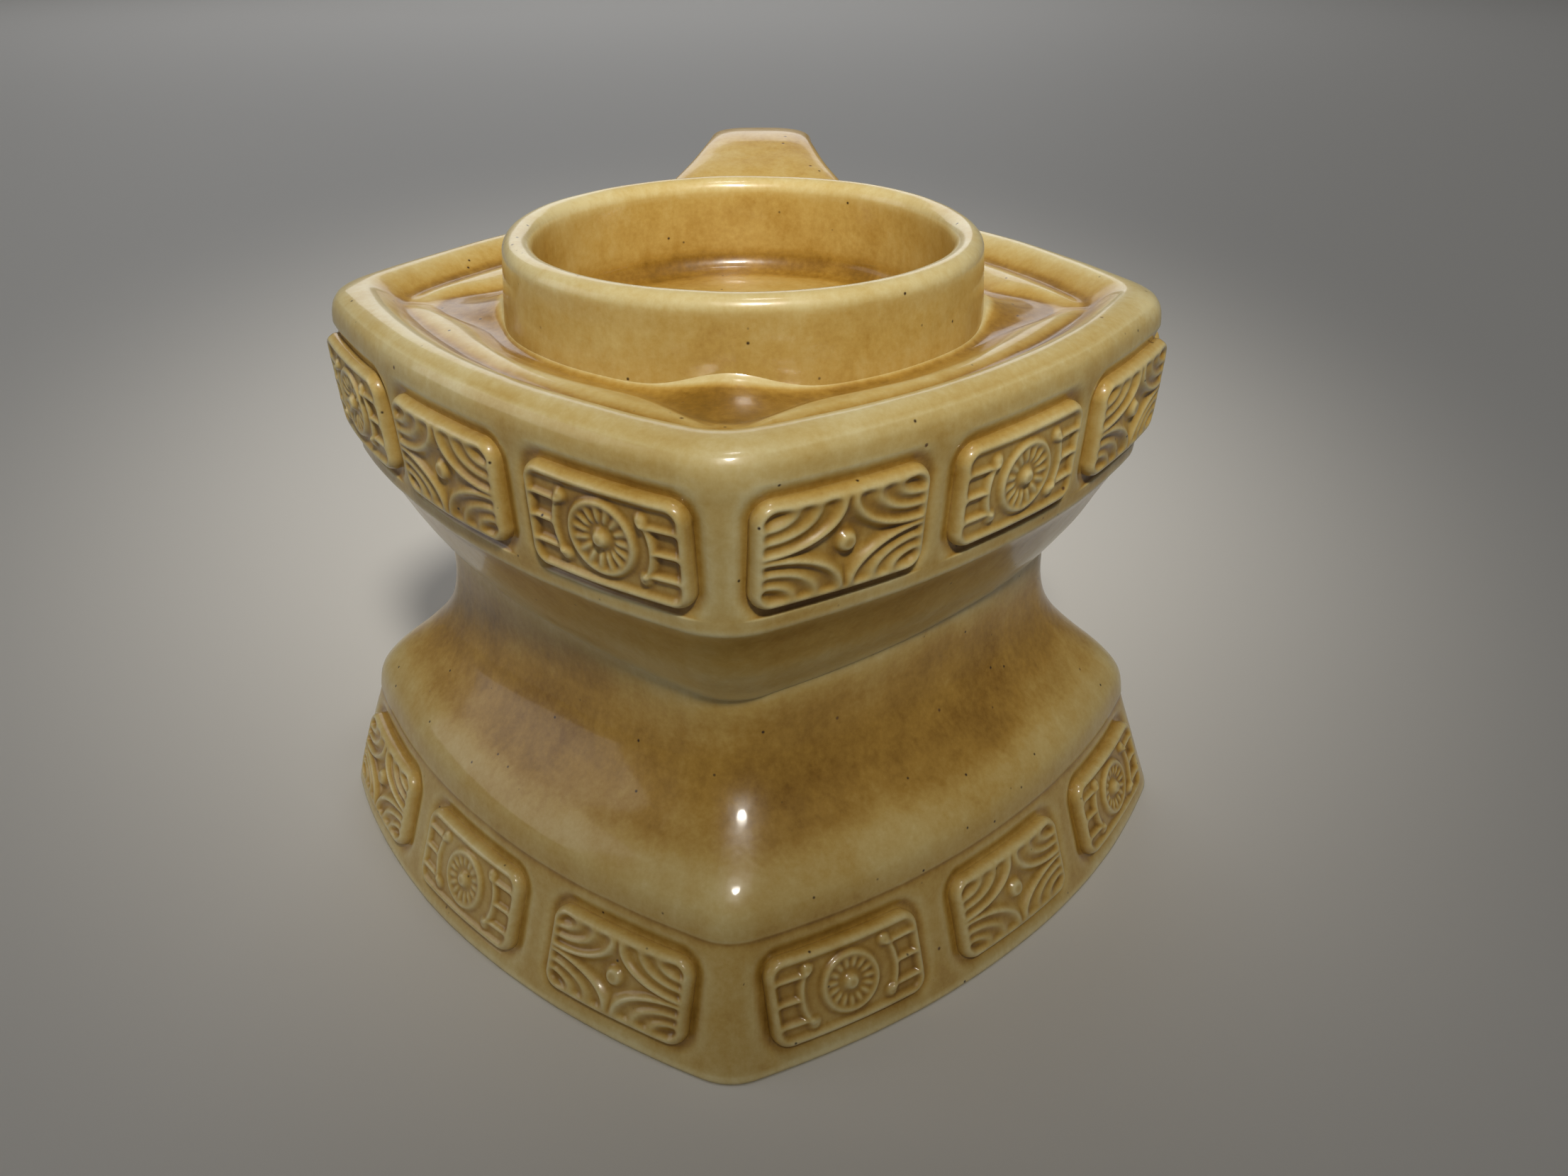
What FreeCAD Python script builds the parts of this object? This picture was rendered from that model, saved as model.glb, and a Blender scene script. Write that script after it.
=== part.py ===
"""Glazed ceramic candle and wax pot on a four-sided stand.

The plan is a square stood on its corner with bowed sides. Each side is a surface turned about
its own upright axis, which stands on the far side of the middle, and the four sides cut each
other along the corner lines. Millimetres, +Z up, the origin on the floor under the middle, one
corner towards -Y and the handle on the corner towards +Y.
"""
import FreeCAD, Part
import math
import os
import Sketcher

# Half widths run from the middle of the plan to the middle of a side. Insets, spreads, rises and
# drops are steps from one level of the profile to the next.
SIZES = {
    "body_bow": 90.0,
    "foot_spread": 33.5,
    "shoulder_inset": 9.0,
    "shoulder_height": 28.0,
    "shoulder_round": 9.0,
    "flare_inset": 6.0,
    "flare_rise": 6.5,
    "flare_round": 30.0,
    "waist_inset": 11.7,
    "waist_rise": 23.5,
    "neck_spread": 0.7,
    "neck_rise": 8.0,
    "body_wall": 5.5,
    "collar_bow": 110.0,
    "seat_inset": 0.5,
    "under_spread": 4.6,
    "under_rise": 7.0,
    "under_round": 16.0,
    "band_foot_spread": 9.2,
    "band_foot_rise": 13.5,
    "band_lean": 1.8,
    "band_rise": 22.5,
    "rim_inset": 4.1,
    "rim_rise": 7.0,
    "rim_round": 7.0,
    "rim_top_width": 1.0,
    "tray_inset": 2.5,
    "tray_depth": 3.0,
    "tray_fall": 0.3,
    "collar_wall": 5.0,
    "cup_radius": 45.0,
    "cup_draft": 1.4,
    "cup_wall": 5.6,
    "cup_rise": 11.4,
    "cup_depth": 19.9,
    "cup_floor_thickness": 5.5,
    "cup_floor_round": 4.0,
    "tile_rise": 1.8,
    "tile_corner": 3.5,
    "lower_tile_gap": 9.0,
    "lower_side_margin": 8.84,
    "lower_row_shift": 0.0,
    "lower_foot_margin": 4.5,
    "lower_head_margin": 7.0,
    "upper_tile_gap": 6.7,
    "upper_side_margin": 2.55,
    "upper_row_shift": 1.6,
    "upper_foot_margin": 1.5,
    "upper_head_margin": 2.0,
    "strap_thickness": 8.5,
    "strap_rise": 12.4,
    "strap_root_inset": 25.35,
    "strap_crest_lead": 4.65,
    "strap_crest_run": 12.0,
    "strap_crest_round": 9.0,
    "strap_slope": 17.0,
    "strap_back_run": 18.0,
    "strap_run_bottom_rise": 22.0,
    "strap_foot_round": 42.0,
    "strap_foot_slope": 30.0,
    "strap_foot_run": 38.0,
    "strap_root_half_width": 27.5,
    "strap_half_width": 12.0,
}

# Levels that follow from the sizes, each with a cell of its own.
LEVELS = {
    "foot_half_width": "cup_radius + foot_spread",
    "shoulder_half_width": "foot_half_width - shoulder_inset",
    "flare_half_width": "shoulder_half_width - flare_inset",
    "flare_height": "shoulder_height + flare_rise",
    "waist_half_width": "flare_half_width - waist_inset",
    "waist_height": "flare_height + waist_rise",
    "neck_half_width": "waist_half_width + neck_spread",
    "neck_height": "waist_height + neck_rise",
    "seat_half_width": "neck_half_width - seat_inset",
    "under_half_width": "seat_half_width + under_spread",
    "under_height": "neck_height + under_rise",
    "band_foot_half_width": "under_half_width + band_foot_spread",
    "band_foot_height": "under_height + band_foot_rise",
    "band_head_half_width": "band_foot_half_width + band_lean",
    "band_head_height": "band_foot_height + band_rise",
    "rim_half_width": "band_head_half_width - rim_inset",
    "rim_height": "band_head_height + rim_rise",
    "rim_corner": "sqrt((collar_bow + rim_half_width) ^ 2 - collar_bow ^ 2 / 2)"
                  " - collar_bow * sqrt(0.5)",
    "rim_inner_half_width": "rim_half_width - rim_top_width",
    "tray_half_width": "rim_inner_half_width - tray_inset",
    "tray_edge_height": "rim_height - tray_depth",
    "cup_foot_radius": "cup_radius + cup_draft",
    "cup_height": "rim_height + cup_rise",
    "cup_floor": "cup_height - cup_depth",
    "cup_foot": "cup_floor - cup_floor_thickness",
    "lower_tile_bottom": "lower_foot_margin",
    "lower_tile_top": "shoulder_height - lower_head_margin",
    "upper_tile_bottom": "band_foot_height + upper_foot_margin",
    "upper_tile_top": "band_head_height - upper_head_margin",
    "strap_crest_height": "rim_height + strap_rise",
    "strap_root": "rim_corner - strap_root_inset",
    "strap_crest_start": "rim_corner + strap_crest_lead",
    "strap_crest_end": "strap_crest_start + strap_crest_run",
    "strap_reach": "strap_crest_end + strap_back_run",
    "strap_run_bottom": "neck_height + strap_run_bottom_rise",
}

MARGIN = 1.0
LINE = "0"
SIDES = 4
TILES_ON_A_SIDE = 3

# A row of tiles stands off the middle of its side, towards the left or the right corner.
ROW_SHIFTS = (-1, 1, -1, 1)


def fill_sheet(doc):
    """Driving dimensions and the levels that follow, one cell and one alias each."""
    sheet = doc.addObject("Spreadsheet::Sheet", "sizes")
    followers = {alias: f"={text}" for alias, text in LEVELS.items()}
    for row, (alias, value) in enumerate((SIZES | followers).items(), start=1):
        sheet.set(f"A{row}", alias)
        sheet.set(f"B{row}", str(value))
        sheet.setAlias(f"B{row}", alias)
    doc.recompute()
    return sheet


def with_cells(text):
    """Expression with each alias written as a cell of the sheet."""
    names = sorted([*SIZES, *LEVELS], key=len, reverse=True)
    for index, alias in enumerate(names):
        text = text.replace(alias, f"@{index}@")
    for index, alias in enumerate(names):
        text = text.replace(f"@{index}@", f"sizes.{alias}")
    return text


def number(doc, text):
    """Number that an expression gives with the sheet as it stands."""
    answer = doc.sizes.evalExpression(with_cells(text))
    return float(getattr(answer, "Value", answer))


def arc_between(start, end, bend):
    """Arc from start to end, its centre on the left of the way for a positive bend."""
    chord = end - start
    left = FreeCAD.Vector(-chord.y, chord.x, 0).normalize()
    rise = math.sqrt(bend * bend - chord.Length ** 2 / 4)
    centre = (start + end) * 0.5 + left * math.copysign(rise, bend)
    angles = [math.atan2(point.y - centre.y, point.x - centre.x) for point in (start, end)]
    if bend < 0:
        angles.reverse()
    circle = Part.Circle(centre, FreeCAD.Vector(0, 0, 1), abs(bend))
    return Part.ArcOfCircle(circle, *angles)


def edge_ends(bend):
    """First and last end of an edge on the way round: a clockwise arc is stored the other way."""
    return (2, 1) if bend.startswith("-") else (1, 2)


def draw_outline(doc, sketch, vertices):
    """Closed outline through vertices (across, up, bend of the edge to the next one).

    Both distances of each vertex are bound to the sheet, and so is the radius of each arc.
    """
    points = [FreeCAD.Vector(number(doc, x), number(doc, y), 0) for x, y, _ in vertices]
    following = points[1:] + points[:1]
    for start, end, (_, _, bend) in zip(points, following, vertices):
        if bend == LINE:
            edge = Part.LineSegment(start, end)
        else:
            edge = arc_between(start, end, number(doc, bend))
        sketch.addGeometry(edge, False)
    for index, (across, up, bend) in enumerate(vertices):
        first, last = edge_ends(bend)
        after = (index + 1) % len(vertices)
        after_first = edge_ends(vertices[after][2])[0]
        join = Sketcher.Constraint("Coincident", index, last, after, after_first)
        sketch.addConstraint(join)
        bind(sketch, ("DistanceX", -1, 1, index, first, points[index].x), across)
        bind(sketch, ("DistanceY", -1, 1, index, first, points[index].y), up)
        if bend != LINE:
            bind(sketch, ("Radius", index, abs(number(doc, bend))), f"abs({bend})")
    return sketch


def bind(sketch, constraint, text):
    index = sketch.addConstraint(Sketcher.Constraint(*constraint))
    sketch.setExpression(f"Constraints[{index}]", with_cells(text))


def free_sketch(doc, name, rotation, vertices):
    """Outline in a plane of its own through the origin."""
    sketch = doc.addObject("Sketcher::SketchObject", name)
    sketch.Placement = FreeCAD.Placement(FreeCAD.Vector(0, 0, 0), rotation)
    return draw_outline(doc, sketch, vertices)


FRONT_PLANE = FreeCAD.Rotation(FreeCAD.Vector(1, 0, 0), 90)
SIDE_PLANE = FreeCAD.Rotation(FreeCAD.Vector(0, 0, 1), 90) * FRONT_PLANE
FLOOR_PLANE = FreeCAD.Rotation()


def four_sided(doc, name, bow, vertices, start_up=None):
    """Solid that four copies of one side's turned surface have in common.

    The outline is in the upright plane through the middle of a side. It starts and ends on the
    side's axis, which stands the bow beyond the middle of the plan.
    """
    shifted = [(f"{bow} + {across}", up, bend) for across, up, bend in vertices]
    foot = ("0", start_up or vertices[0][1], LINE)
    outline = [foot, *shifted, ("0", vertices[-1][1], LINE)]
    side = doc.addObject("Part::Revolution", f"{name}_side")
    side.Source = free_sketch(doc, f"{name}_outline", FRONT_PLANE, outline)
    side.Axis = (0, 0, 1)
    side.Angle = 360
    side.Solid = True
    for axis in "xy":
        side.setExpression(f"Placement.Base.{axis}", with_cells(f"-{bow} * sqrt(0.5)"))
    pair = common_with_mirror(doc, f"{name}_pair", side, (1, 0, 0))
    return common_with_mirror(doc, f"{name}_block", pair, (0, 1, 0))


def common_with_mirror(doc, name, source, normal):
    mirror = doc.addObject("Part::Mirroring", f"{name}_mirror")
    mirror.Source = source
    mirror.Normal = normal
    return combine(doc, "Part::MultiCommon", name, [source, mirror])


def combine(doc, kind, name, shapes):
    result = doc.addObject(kind, name)
    result.Shapes = shapes
    return result


def cut(doc, name, base, tool):
    result = doc.addObject("Part::Cut", name)
    result.Base = base
    result.Tool = tool
    return result


def stand_block(doc):
    """Outside of the stand: leaning band, round shoulder, hollow flare and neck."""
    return four_sided(doc, "body", "body_bow", [
        ("foot_half_width", "0", LINE),
        ("shoulder_half_width", "shoulder_height", "shoulder_round"),
        ("flare_half_width", "flare_height", "-flare_round"),
        ("waist_half_width", "waist_height", LINE),
        ("neck_half_width", "neck_height", LINE),
    ])


def stand_hollow(doc):
    """Inside of the stand, one wall in from the outside and open at both ends."""
    return four_sided(doc, "body_hollow", "body_bow", [
        ("foot_half_width - body_wall", f"-{MARGIN}", LINE),
        ("shoulder_half_width - body_wall", "shoulder_height - 1", "shoulder_round"),
        ("flare_half_width - body_wall", "flare_height - 3", "-flare_round"),
        ("waist_half_width - body_wall", "waist_height", LINE),
        ("neck_half_width - body_wall", f"neck_height + {MARGIN}", LINE),
    ])


def collar_block(doc):
    """Outside of the collar: curved underside, leaning band and rolled rim."""
    return four_sided(doc, "collar", "collar_bow", [
        ("seat_half_width", "neck_height", LINE),
        ("under_half_width", "under_height", "-under_round"),
        ("band_foot_half_width", "band_foot_height", LINE),
        ("band_head_half_width", "band_head_height", "rim_round"),
        ("rim_half_width", "rim_height", LINE),
    ])


def tray_space(doc, name, drop):
    """Space over the tray's four sloping sides, lowered by drop.

    Where two sides meet, the space keeps the higher of them, which leaves a valley at a corner.
    """
    return four_sided(doc, name, "collar_bow", [
        ("tray_half_width", f"tray_edge_height - {drop}", LINE),
        ("rim_inner_half_width", f"rim_height - {drop}", LINE),
        ("rim_inner_half_width", "rim_height + cup_height", LINE),
    ], start_up=f"tray_edge_height - {drop} - tray_fall * (collar_bow + tray_half_width)")


def collar_hollow(doc):
    """Inside of the collar under the tray, one wall in from the outside."""
    inside = four_sided(doc, "collar_inside", "collar_bow", [
        ("seat_half_width - body_wall", f"neck_height - {MARGIN}", LINE),
        ("under_half_width - body_wall", "under_height + 1", "-under_round"),
        ("band_foot_half_width - collar_wall", "band_foot_height + 2", LINE),
        ("band_head_half_width - collar_wall", "band_head_height", LINE),
    ])
    return cut(doc, "collar_hollow", inside, tray_space(doc, "tray_underside", "collar_wall"))


def cup_cone(doc):
    """Outside of the cup wall, which the tray closes round."""
    cone = doc.addObject("Part::Cone", "cup_cone")
    reach = "(cup_height - cup_wall / 2 - cup_foot)"
    cone.setExpression("Radius1", with_cells("2 * cup_foot_radius - cup_radius"))
    cone.setExpression("Radius2", with_cells("cup_radius"))
    cone.setExpression("Height", with_cells(f"2 * {reach}"))
    cone.setExpression("Placement.Base.z", with_cells(f"cup_foot - {reach}"))
    return cone


def make_cup(doc):
    """Cup turned in one piece: round lip, straight bore, floor with a rounded edge."""
    body = doc.addObject("PartDesign::Body", "cup")
    lip = "cup_height - cup_wall / 2"
    bore = "cup_radius - cup_wall"
    sketch = body_sketch(body, "cup_section", "XZ_Plane")
    draw_outline(doc, sketch, [
        ("0", "cup_foot", LINE),
        ("cup_foot_radius", "cup_foot", LINE),
        ("cup_radius", lip, "cup_wall * 0.505"),
        (bore, lip, LINE),
        (bore, "cup_floor + cup_floor_round", "-cup_floor_round"),
        (f"{bore} - cup_floor_round", "cup_floor", LINE),
        ("0", "cup_floor", LINE),
    ])
    turn(body, sketch, 360)
    return body


def body_sketch(body, name, plane):
    sketch = body.newObject("Sketcher::SketchObject", name)
    support = next(part for part in body.Origin.OriginFeatures if part.Role == plane)
    sketch.AttachmentSupport = [(support, "")]
    sketch.MapMode = "FlatFace"
    return sketch


def turn(body, sketch, angle):
    """Section turned about the body's own upright axis, half the angle to each side."""
    turned = body.newObject("PartDesign::Revolution", f"{body.Name}_turned")
    turned.Profile = sketch
    turned.ReferenceAxis = (sketch, ["V_Axis"])
    turned.Midplane = True
    if isinstance(angle, str):
        turned.setExpression("Angle", with_cells(angle))
    else:
        turned.Angle = angle
    return turned


def make_tile(doc, band, kind, side, place, number_on_band):
    """Raised relief tile, a thin slab bent round the band, with rounded corners."""
    body = doc.addObject("PartDesign::Body", f"{band.name}_{kind}_tile_{number_on_band}")
    sketch = body_sketch(body, f"{body.Name}_section", "XZ_Plane")
    bottom, top = (f"({band.bow} + {band.half_width(f'{band.name}_tile_{end}')})"
                   for end in ("bottom", "top"))
    draw_outline(doc, sketch, [
        (bottom, f"{band.name}_tile_bottom", LINE),
        (f"{bottom} + tile_rise", f"{band.name}_tile_bottom", LINE),
        (f"{top} + tile_rise", f"{band.name}_tile_top", LINE),
        (top, f"{band.name}_tile_top", LINE),
    ])
    slab = turn(body, sketch, f"1rad * {band.tile_width(bottom)} / {bottom}")
    doc.recompute()
    corners = body.newObject("PartDesign::Fillet", f"{body.Name}_corners")
    corners.Base = (slab, corner_edges(slab.Shape, number(doc, "tile_rise")))
    corners.setExpression("Radius", with_cells("tile_corner"))
    steps = place - (TILES_ON_A_SIDE - 1) / 2
    pitch = f"({band.tile_width(bottom)} + {band.name}_tile_gap)"
    shift = f"{ROW_SHIFTS[side]} * {band.name}_row_shift"
    facing = f"{90 * side - 135}deg + 1rad * ({steps} * {pitch} + {shift}) / {bottom}"
    body.setExpression("Placement.Rotation.Angle", with_cells(facing))
    turn_x, turn_y = side_direction(side)
    body.setExpression("Placement.Base.x", with_cells(f"{-turn_x} * {band.bow} * sqrt(0.5)"))
    body.setExpression("Placement.Base.y", with_cells(f"{-turn_y} * {band.bow} * sqrt(0.5)"))
    return body


def side_direction(side):
    """Signs of the outward direction of a side, counted anticlockwise from the front left."""
    return [(-1, -1), (1, -1), (1, 1), (-1, 1)][side]


def corner_edges(shape, rise):
    """Names of the short straight edges that stand on the band at a tile's four corners."""
    return [f"Edge{index}" for index, edge in enumerate(shape.Edges, start=1)
            if abs(edge.Length - rise) < rise / 100]


class Band:
    """One row of tiles and the straight leaning face that carries them."""

    def __init__(self, name, bow, foot, head, first):
        self.name = name
        self.bow = bow
        self.foot = foot
        self.head = head
        self.first = first

    def half_width(self, height):
        """Half width of the face at a height, as an expression."""
        (foot_width, foot_up), (head_width, head_up) = self.foot, self.head
        lean = f"({head_width} - {foot_width}) / ({head_up} - {foot_up})"
        return f"({foot_width} + ({height} - {foot_up}) * {lean})"

    def tile_width(self, reach):
        """Width that lets the tiles fill a side, whose turned surface is at that reach."""
        corner = f"(45deg - asin({self.bow} * sqrt(0.5) / {reach}))"
        run = f"2 * {reach} * {corner} / 1rad"
        gaps = f"2 * {self.name}_side_margin - {TILES_ON_A_SIDE - 1} * {self.name}_tile_gap"
        return f"(({run} - {gaps}) / {TILES_ON_A_SIDE})"


def make_tiles(doc):
    """Two kinds of tile in turn all the way round each band."""
    bands = [
        Band("lower", "body_bow", ("foot_half_width", "0"),
             ("shoulder_half_width", "shoulder_height"), ("star", "rosette")),
        Band("upper", "collar_bow", ("band_foot_half_width", "band_foot_height"),
             ("band_head_half_width", "band_head_height"), ("rosette", "star")),
    ]
    tiles = []
    for band in bands:
        for count in range(SIDES * TILES_ON_A_SIDE):
            side, place = divmod(count, TILES_ON_A_SIDE)
            kind = band.first[count % 2]
            tiles.append(make_tile(doc, band, kind, side, place, count // 2 + 1))
    return tiles


def slab(doc, name, sketch, normal, thickness):
    """Outline pushed both ways along its normal."""
    result = doc.addObject("Part::Extrusion", name)
    result.Base = sketch
    result.DirMode = "Custom"
    result.Dir = normal
    result.Symmetric = True
    result.Solid = True
    result.setExpression("LengthFwd", with_cells(thickness))
    return result


def strap_side(doc):
    """Side view of the strap: up and back from the tray, over, and down to the stand."""
    turn_out = "strap_crest_start - strap_crest_round * sin(strap_slope * 1deg)"
    turn_up = ("strap_crest_height - strap_crest_round"
               " + strap_crest_round * cos(strap_slope * 1deg)")
    root_up = f"{turn_up} - ({turn_out} - strap_root) * tan(strap_slope * 1deg)"
    run = "strap_reach - strap_crest_end"
    inner_run = f"({run} - strap_thickness)"
    centre = "(strap_reach - strap_foot_round)"
    inner_round = "(strap_foot_round - strap_thickness)"
    foot_out = (f"{centre} + strap_foot_round * sin(strap_foot_slope * 1deg)"
                " - strap_foot_run * cos(strap_foot_slope * 1deg)")
    foot_up = ("strap_run_bottom - strap_foot_round * cos(strap_foot_slope * 1deg)"
               " - strap_foot_run * sin(strap_foot_slope * 1deg)")
    under = "strap_crest_height - strap_thickness"
    slope_in = "strap_thickness * sin(strap_slope * 1deg)"
    slope_down = "strap_thickness * cos(strap_slope * 1deg)"
    return free_sketch(doc, "strap_side_outline", SIDE_PLANE, [
        ("strap_root", root_up, LINE),
        (turn_out, turn_up, "-strap_crest_round"),
        ("strap_crest_start", "strap_crest_height", LINE),
        ("strap_crest_end", "strap_crest_height", f"-({run})"),
        ("strap_reach", f"strap_crest_height - ({run})", LINE),
        ("strap_reach", "strap_run_bottom", "-strap_foot_round"),
        (f"{centre} + strap_foot_round * sin(strap_foot_slope * 1deg)",
         "strap_run_bottom - strap_foot_round * cos(strap_foot_slope * 1deg)", LINE),
        (foot_out, foot_up, LINE),
        (f"{foot_out} - strap_thickness * sin(strap_foot_slope * 1deg)",
         f"{foot_up} + strap_thickness * cos(strap_foot_slope * 1deg)", LINE),
        (f"{centre} + {inner_round} * sin(strap_foot_slope * 1deg)",
         f"strap_run_bottom - {inner_round} * cos(strap_foot_slope * 1deg)", inner_round),
        ("strap_reach - strap_thickness", "strap_run_bottom", LINE),
        ("strap_reach - strap_thickness", f"strap_crest_height - ({run})", inner_run),
        ("strap_crest_end", under, LINE),
        (f"{turn_out} + {slope_in}", under, LINE),
        (f"strap_root + {slope_in}", f"{root_up} - {slope_down}", LINE),
    ])


def strap_top(doc):
    """Top view of the strap: wide across the tray's corner, narrow from the crest on."""
    right = [
        ("strap_root_half_width", "strap_root - 1"),
        ("(strap_root_half_width + strap_half_width) / 2", "(strap_root + strap_crest_start) / 2"),
        ("strap_half_width + 1", "strap_crest_start + 2"),
        ("strap_half_width", "strap_crest_end"),
        ("strap_half_width", "strap_reach + 1"),
    ]
    left = [(f"-({across})", up) for across, up in reversed(right)]
    return free_sketch(doc, "strap_top_outline", FLOOR_PLANE,
                       [(across, up, LINE) for across, up in right + left])


def make_handle(doc, stand, collar, tray, cup):
    """Strap whose ends stop on the faces of the collar, the tray, the cup and the stand."""
    side = slab(doc, "strap_side", strap_side(doc), (1, 0, 0), "2 * strap_root_half_width + 2")
    top = slab(doc, "strap_top", strap_top(doc), (0, 0, 1), "4 * strap_crest_height")
    strap = combine(doc, "Part::MultiCommon", "strap_whole", [side, top])
    solid_collar = cut(doc, "collar_without_tray", collar, tray)
    outside = combine(doc, "Part::MultiFuse", "pot_outside", [stand, solid_collar, cup])
    return cut(doc, "rear_handle", strap, outside)


def make_pot(doc):
    """All the pieces that are written out."""
    stand = stand_block(doc)
    lower_body = cut(doc, "lower_body", stand, stand_hollow(doc))
    block = collar_block(doc)
    tray = tray_space(doc, "tray_space", "0")
    cone = cup_cone(doc)
    handle = make_handle(doc, stand, block, tray, cone)
    sunk = cut(doc, "collar_sunk", block, tray)
    shell = cut(doc, "collar_shell", sunk, collar_hollow(doc))
    collar = cut(doc, "upper_collar", shell, cone)
    return [lower_body, collar, make_cup(doc), handle, *make_tiles(doc)]


def check(doc, pieces):
    """Stop on any object that failed to compute and on any bad shape."""
    for item in doc.Objects:
        if {"Invalid", "Error"} & set(item.State):
            raise RuntimeError(f"{item.Name} failed: {item.State}")
    for piece in pieces:
        shape = piece.Shape
        if shape.isNull() or not shape.isValid() or len(shape.Solids) != 1:
            raise RuntimeError(f"{piece.Name} is not one sound solid")
        box = shape.BoundBox
        print(f"{piece.Name:28s} {shape.Volume:10.0f} mm3"
              f"  {box.XLength:6.1f} {box.YLength:6.1f} {box.ZLength:6.1f} mm")


def main():
    doc = FreeCAD.newDocument("pot")
    fill_sheet(doc)
    pieces = make_pot(doc)
    doc.recompute()
    check(doc, pieces)
    os.makedirs("parts", exist_ok=True)
    for piece in pieces:
        piece.Label = piece.Name
        piece.Shape.exportStep(f"parts/{piece.Label}.step")


main()
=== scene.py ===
"""Honey-glazed ceramic candle and wax pot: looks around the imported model.

Sizes below are millimetres and are turned to metres where a mesh is placed. The plan is a square
stood on its corner, one corner towards -Y and the handle on the corner towards +Y.
"""
import math

import bmesh
import bpy
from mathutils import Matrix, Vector, noise


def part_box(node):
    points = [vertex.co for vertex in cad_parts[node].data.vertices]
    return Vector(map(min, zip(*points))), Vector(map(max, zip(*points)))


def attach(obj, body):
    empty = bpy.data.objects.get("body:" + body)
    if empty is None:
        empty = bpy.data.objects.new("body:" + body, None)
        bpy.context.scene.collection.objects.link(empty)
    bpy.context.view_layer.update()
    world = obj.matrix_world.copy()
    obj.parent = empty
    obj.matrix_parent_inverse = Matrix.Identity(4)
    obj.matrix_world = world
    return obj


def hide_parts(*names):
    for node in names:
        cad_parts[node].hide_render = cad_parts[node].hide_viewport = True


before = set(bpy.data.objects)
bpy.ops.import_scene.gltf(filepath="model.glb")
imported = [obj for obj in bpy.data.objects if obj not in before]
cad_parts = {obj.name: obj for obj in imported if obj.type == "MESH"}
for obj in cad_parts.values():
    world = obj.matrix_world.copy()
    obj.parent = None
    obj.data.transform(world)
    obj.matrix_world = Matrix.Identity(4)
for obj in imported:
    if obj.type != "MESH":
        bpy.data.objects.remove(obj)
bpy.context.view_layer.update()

MM = 0.001


def box_mm(node):
    """Lowest and highest corner of a CAD node in millimetres."""
    return [Vector(corner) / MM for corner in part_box(node)]


cup_low, cup_high = box_mm("cup")

# Plan of the two four-sided pieces. A side is part of a circle whose centre lies the bow beyond
# the middle of the plan, so a small bow gives a round plan and a large one a square plan.
STAND_BOW = 90.0
COLLAR_BOW = 110.0
SIDE_ANGLES = [math.radians(angle) for angle in (-135, -45, 45, 135)]
AROUND = 768
STAND_SOFTNESS = 4.0
COLLAR_SOFTNESS = 7.0

# The noise starts from the clock unless it is given a seed, and the cast has to come out the same.
CAST_SEED = 23
SLOW_SWELL = (34.0, 0.32)
FINE_SWELL = (9.0, 0.07)


# ---------------------------------------------------------------- plan and profile

def side_reach(angle, side_angle, bow, half_width):
    """Distance from the middle to one side's circle in the direction angle."""
    off = angle - side_angle
    radius = bow + half_width
    return math.sqrt(radius ** 2 - (bow * math.sin(off)) ** 2) - bow * math.cos(off)


def plan_reach(angle, bow, half_width, softness):
    """Distance from the middle to the plan's outline, with its corners rounded by softness."""
    reaches = sorted(side_reach(angle, side, bow, half_width) for side in SIDE_ANGLES
                     if math.cos(angle - side) > 0)[:2]
    if len(reaches) < 2:
        return reaches[0]
    near, far = reaches
    blend = max(softness - (far - near), 0) / softness
    return near - blend * blend * softness / 4


def spline(points, steps):
    """Smooth line through points, steps per span (Catmull-Rom)."""
    line = []
    padded = [points[0], *points, points[-1]]
    for first, start, end, last in zip(padded, padded[1:], padded[2:], padded[3:]):
        for step in range(steps):
            t = step / steps
            line.append(tuple(
                0.5 * (2 * b + (c - a) * t + (2 * a - 5 * b + 4 * c - d) * t * t
                       + (3 * b - a - 3 * c + d) * t ** 3)
                for a, b, c, d in zip(first, start, end, last)))
    line.append(tuple(points[-1]))
    return line


def smoothstep(low, high, value):
    t = min(max((value - low) / (high - low), 0), 1)
    return t * t * (3 - 2 * t)


def bump(value, centre, width):
    return math.exp(-((value - centre) / width) ** 2)


def smoothfall(start, end, value):
    return 1 - smoothstep(start, end, value)


noise.seed_set(CAST_SEED)


def hand_wobble(point):
    """Slow unevenness that a plaster mould and a hand-sponged cast leave, in millimetres."""
    slow = noise.noise_vector(point / SLOW_SWELL[0]) * SLOW_SWELL[1]
    fast = noise.noise_vector(point / FINE_SWELL[0] + Vector((7, 3, 5))) * FINE_SWELL[1]
    grounded = smoothstep(0, 8, point.z)
    drift = slow + fast
    return Vector((drift.x, drift.y, drift.z * grounded))


# ---------------------------------------------------------------- mesh helpers

def ring_shell(rings, closed):
    """Rings of vertices joined by faces; ring(angle) gives a ring's reach and height."""
    bm = bmesh.new()
    bmesh.ops.create_circle(bm, cap_ends=False, segments=AROUND, radius=1)
    first = bm.edges[:]
    edges = first
    set_ring({v for edge in edges for v in edge.verts}, rings[0])
    for ring in rings[1:]:
        grown = bmesh.ops.extrude_edge_only(bm, edges=edges)["geom"]
        edges = [item for item in grown if isinstance(item, bmesh.types.BMEdge)]
        set_ring([item for item in grown if isinstance(item, bmesh.types.BMVert)], ring)
    if closed:
        bmesh.ops.bridge_loops(bm, edges=first + edges)
    return bm


def set_ring(verts, ring):
    for vert in verts:
        angle = math.atan2(vert.co.y, vert.co.x)
        reach, height = ring(angle)
        vert.co = (reach * math.cos(angle), reach * math.sin(angle), height)


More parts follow.
